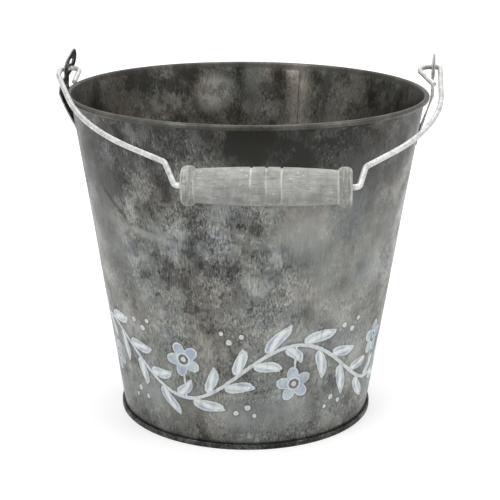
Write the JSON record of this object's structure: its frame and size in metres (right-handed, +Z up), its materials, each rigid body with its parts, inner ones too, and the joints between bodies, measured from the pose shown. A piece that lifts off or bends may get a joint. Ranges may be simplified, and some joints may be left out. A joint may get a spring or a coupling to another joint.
{
  "type": "galvanized bucket",
  "caption": "Small tapered galvanized sheet bucket with a wired rim, a double-seamed foot, stamped ears and a swinging wire bail that carries a turned wooden grip",
  "frame": {"origin": "centre of the ring that stands on the floor, on the floor plane", "axes": "+Z up; the ears lie on the X axis, right ear at +X; the bail hangs towards -Y at rest"},
  "size_m": [0.2114, 0.2499, 0.2057],
  "materials": {
    "sheet": "weathered zinc, mottled grey, with a washed-out painted frieze",
    "base": "weathered zinc, darker at the seam",
    "ear": "weathered zinc, dark and speckled",
    "wire": "pale zinc-coated wire",
    "grip": "grey whitewash over turned wood"
  },
  "bodies": {
    "bucket": {"bucket_wall": "sheet", "rim_wire": "wire", "bucket_base": "base", "left_ear": "ear", "right_ear": "ear"},
    "bail": {"bail": "wire"},
    "grip": {"grip": "grip"}
  },
  "joints": [
    {"name": "bail_swing", "type": "hinge", "parent": "bucket", "child": "bail", "pos_m": [0, 0, 0.19611], "axis": [-0.9998, 0, -0.0186], "range_deg": [0, 206]},
    {"name": "grip_spin", "type": "hinge", "parent": "bail", "child": "grip", "pos_m": [0.01595, -0.13982, 0.16412], "axis": [0.9997, -0.0204, 0.0139], "continuous": true}
  ]
}
